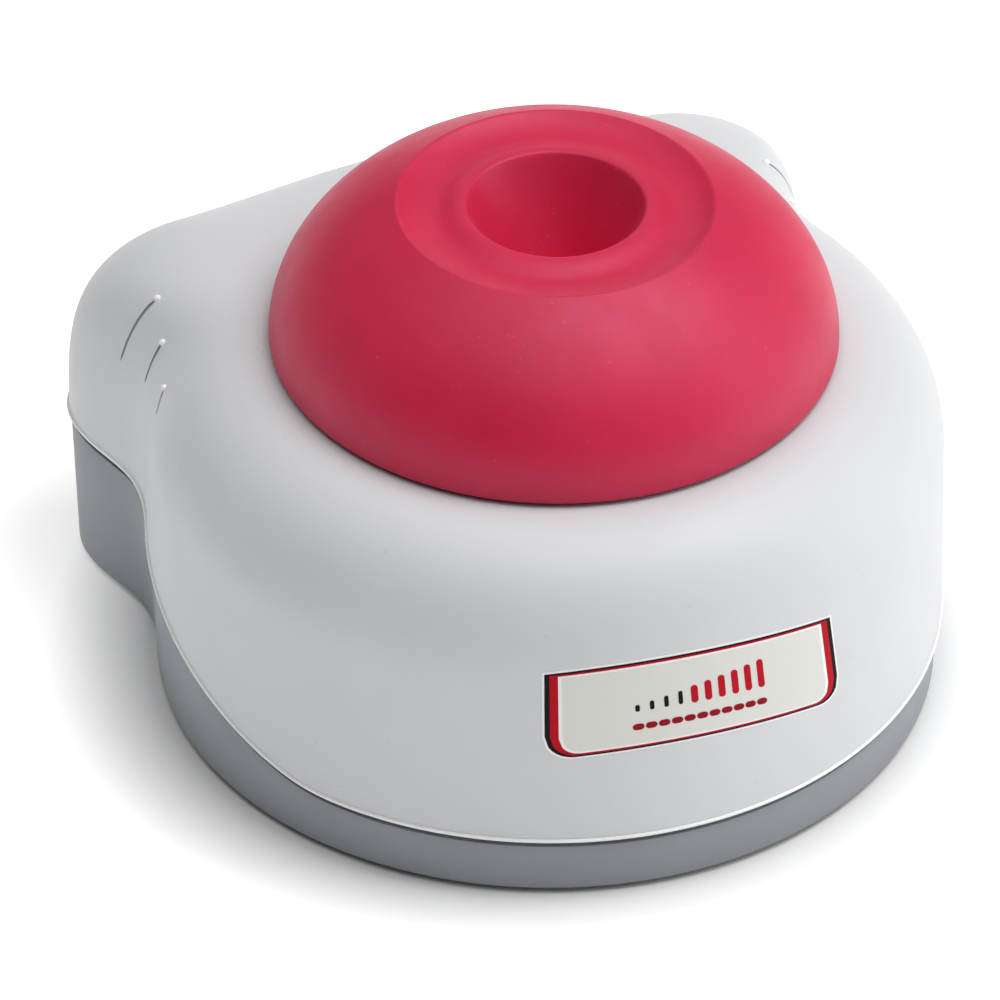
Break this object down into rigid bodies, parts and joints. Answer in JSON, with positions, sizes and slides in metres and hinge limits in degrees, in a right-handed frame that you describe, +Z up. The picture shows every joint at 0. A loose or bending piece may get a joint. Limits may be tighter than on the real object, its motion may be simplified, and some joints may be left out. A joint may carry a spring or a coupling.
{
  "type": "vortex mixer",
  "caption": "Compact touch-operated vortex mixer: round housing with two rear shoulders and a rubber dome head that orbits, with a cup in its top for a tube.",
  "frame": {"origin": "point of the standing surface directly under the axis of the motor shaft, about which the head orbits", "axes": "+Z up along the motor shaft; -Y towards the labelled front; +X to the right seen from the front"},
  "size_m": [0.126, 0.1306, 0.0864],
  "materials": {
    "shell_white": "satin moulded ABS with a fine spark texture",
    "base_grey": "satin moulded ABS",
    "label": "printed polyester label, plain",
    "head_rubber": "matte moulded rubber",
    "foot_rubber": "matte",
    "weight_steel": "zinc primed",
    "screw_steel": "zinc plated",
    "spring_steel": "drawn wire",
    "board_green": "solder-masked laminate",
    "capacitor_sleeve": "shrink sleeve",
    "black_plastic": "moulded",
    "ferrite": "sintered",
    "white_plastic": "moulded acetal",
    "plated_pin": "nickel plated",
    "sheet_steel": "zinc-plated sheet",
    "plunger_red": "moulded",
    "brass": "turned",
    "carbon": "pressed carbon",
    "ground_steel": "ground",
    "core_steel": "stacked laminations",
    "copper": "enamelled copper wire"
  },
  "bodies": {
    "housing": {"upper_housing": "shell_white", "lower_housing": "base_grey", "label_plate": "label", "base_weight": "weight_steel", "weight_screws": "screw_steel", "foot_front_left": "foot_rubber", "foot_front_right": "foot_rubber", "foot_rear_left": "foot_rubber", "foot_rear_right": "foot_rubber", "housing_screws": "screw_steel", "suspension_posts": "screw_steel", "suspension_springs": "spring_steel", "control_board": "board_green", "board_screws": "screw_steel", "smoothing_capacitor": "capacitor_sleeve", "driver_chip": "black_plastic", "power_inductor": "ferrite", "motor_header": "white_plastic", "dc_inlet": "black_plastic", "dc_inlet_pin": "plated_pin", "touch_switch_bracket": "sheet_steel", "touch_switch_body": "black_plastic", "touch_switch_screws": "screw_steel"},
    "touch_plunger": {"touch_switch_plunger": "plunger_red"},
    "carriage": {"motor_bracket": "sheet_steel", "bracket_bushes": "white_plastic", "motor_can": "sheet_steel", "motor_end_cap": "black_plastic", "motor_terminals": "brass", "motor_magnets": "ferrite", "motor_brushes": "carbon", "motor_shaft_bushes": "brass", "motor_screws": "screw_steel", "guide_plate": "white_plastic", "plate_standoffs": "brass", "plate_screws": "screw_steel"},
    "rotor": {"motor_shaft": "ground_steel", "rotor_core": "core_steel", "rotor_windings": "copper", "commutator": "copper", "crank": "ground_steel", "counterweight": "brass", "crank_set_screw": "ground_steel", "crank_retainer": "screw_steel", "bearing_inner_ring": "ground_steel"},
    "head": {"bearing_outer_ring": "ground_steel", "bearing_balls": "ground_steel", "bearing_shields": "sheet_steel", "bearing_clip": "ground_steel", "head_carrier": "white_plastic", "guide_pins": "ground_steel", "rubber_head": "head_rubber"}
  },
  "joints": [
    {"name": "head_press", "type": "slide", "parent": "housing", "child": "carriage", "axis": [0, 0, 1], "range_m": [-0.0005, 0], "stiffness_N_per_m": 6000, "springref_m": 0.0012, "deforming": ["suspension_springs"]},
    {"name": "plunger_press", "type": "slide", "parent": "housing", "child": "touch_plunger", "axis": [0, 0, 1], "range_m": [-0.0005, 0]},
    {"name": "motor_spin", "type": "hinge", "parent": "carriage", "child": "rotor", "pos_m": [0, 0, 0.0386], "axis": [0, 0, 1], "continuous": true},
    {"name": "head_orbit", "type": "hinge", "parent": "rotor", "child": "head", "pos_m": [0.00109, 0.00051, 0.0544], "axis": [0, 0, 1], "continuous": true}
  ],
  "couplings": [
    {"joint": "plunger_press", "follows": "head_press", "ratio": 1},
    {"joint": "head_orbit", "follows": "motor_spin", "ratio": -1}
  ]
}
